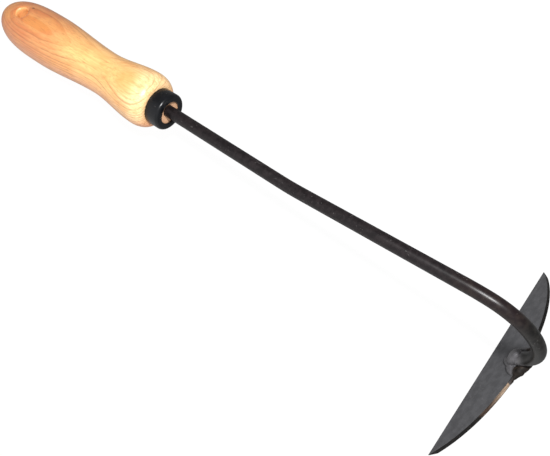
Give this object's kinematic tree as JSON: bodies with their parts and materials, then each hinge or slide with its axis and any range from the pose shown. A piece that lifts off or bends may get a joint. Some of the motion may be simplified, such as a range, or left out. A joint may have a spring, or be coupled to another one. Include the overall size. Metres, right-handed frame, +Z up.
{
  "type": "half moon hoe",
  "caption": "Short-handled draw hoe: a turned wooden handle with a ferrule, a bent round steel shaft and a half moon blade welded to its end.",
  "frame": {"origin": "on the table, below the middle of the hoe's length", "axes": "+X from the handle towards the blade, Y across the blade, +Z up, as the hoe lies on its cutting edge and the palm end of its handle"},
  "size_m": [0.4215, 0.14, 0.0895],
  "materials": {
    "ash_wood": "clear lacquered, satin gloss",
    "ferrule_lacquer": "black lacquer, semi-gloss",
    "shaft_lacquer": "clear lacquer over dark forged steel, semi-gloss",
    "blade_lacquer": "clear lacquer over grey rolled steel, satin",
    "weld_metal": "clear lacquer over weld metal, satin"
  },
  "bodies": {
    "root": {"handle": "ash_wood", "ferrule": "ferrule_lacquer", "shaft": "shaft_lacquer", "blade": "blade_lacquer", "weld_puddle": "weld_metal", "edge_beads": "weld_metal"}
  },
  "joints": []
}
